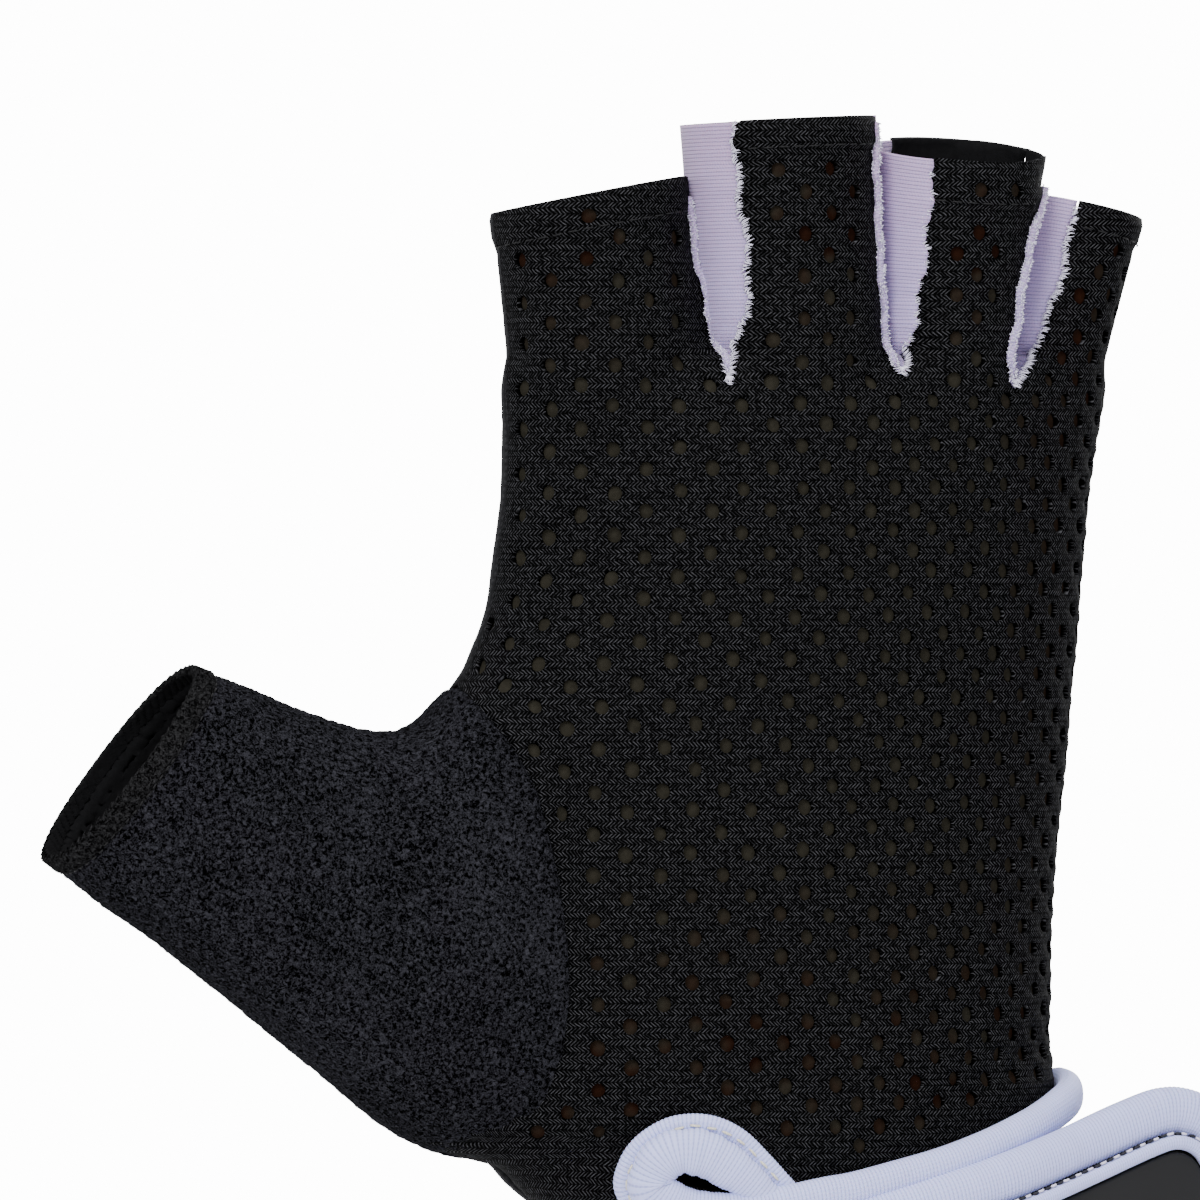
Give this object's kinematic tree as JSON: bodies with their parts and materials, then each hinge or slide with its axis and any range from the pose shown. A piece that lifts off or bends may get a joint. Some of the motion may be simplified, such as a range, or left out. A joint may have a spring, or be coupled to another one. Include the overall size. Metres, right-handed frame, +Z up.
{
  "type": "weightlifting glove",
  "caption": "Fingerless training glove for a right hand, filled as if worn, with knit gussets between the fingers and a wrist strap with a rubber patch.",
  "frame": {"origin": "middle of the wrist opening, where the hand goes in", "axes": "+Z up towards the fingers, -Y the way the back of the hand faces, -X the thumb side"},
  "size_m": [0.1732, 0.0451, 0.1857],
  "materials": {
    "perforated_knit": "black knit with small round vents, matt",
    "palm_fabric": "plain dark woven fabric, matt",
    "terry": "black looped terry, matt and soft",
    "rib_knit": "pale lavender-white rib knit, matt",
    "binding_knit": "lavender rib knit, padded, matt",
    "strap_fabric": "plain dark fabric, matt",
    "rubber_patch": "smooth dark grey rubber, satin"
  },
  "bodies": {
    "root": {"back_panel": "perforated_knit", "palm_panel": "palm_fabric", "thumb_sleeve": "terry", "fourchette_index_middle": "rib_knit", "fourchette_middle_ring": "rib_knit", "fourchette_ring_little": "rib_knit", "cuff_binding": "binding_knit", "keyhole_band": "binding_knit", "wrist_strap": "strap_fabric", "strap_binding": "binding_knit", "patch_piping": "binding_knit", "strap_patch": "rubber_patch"}
  },
  "joints": []
}
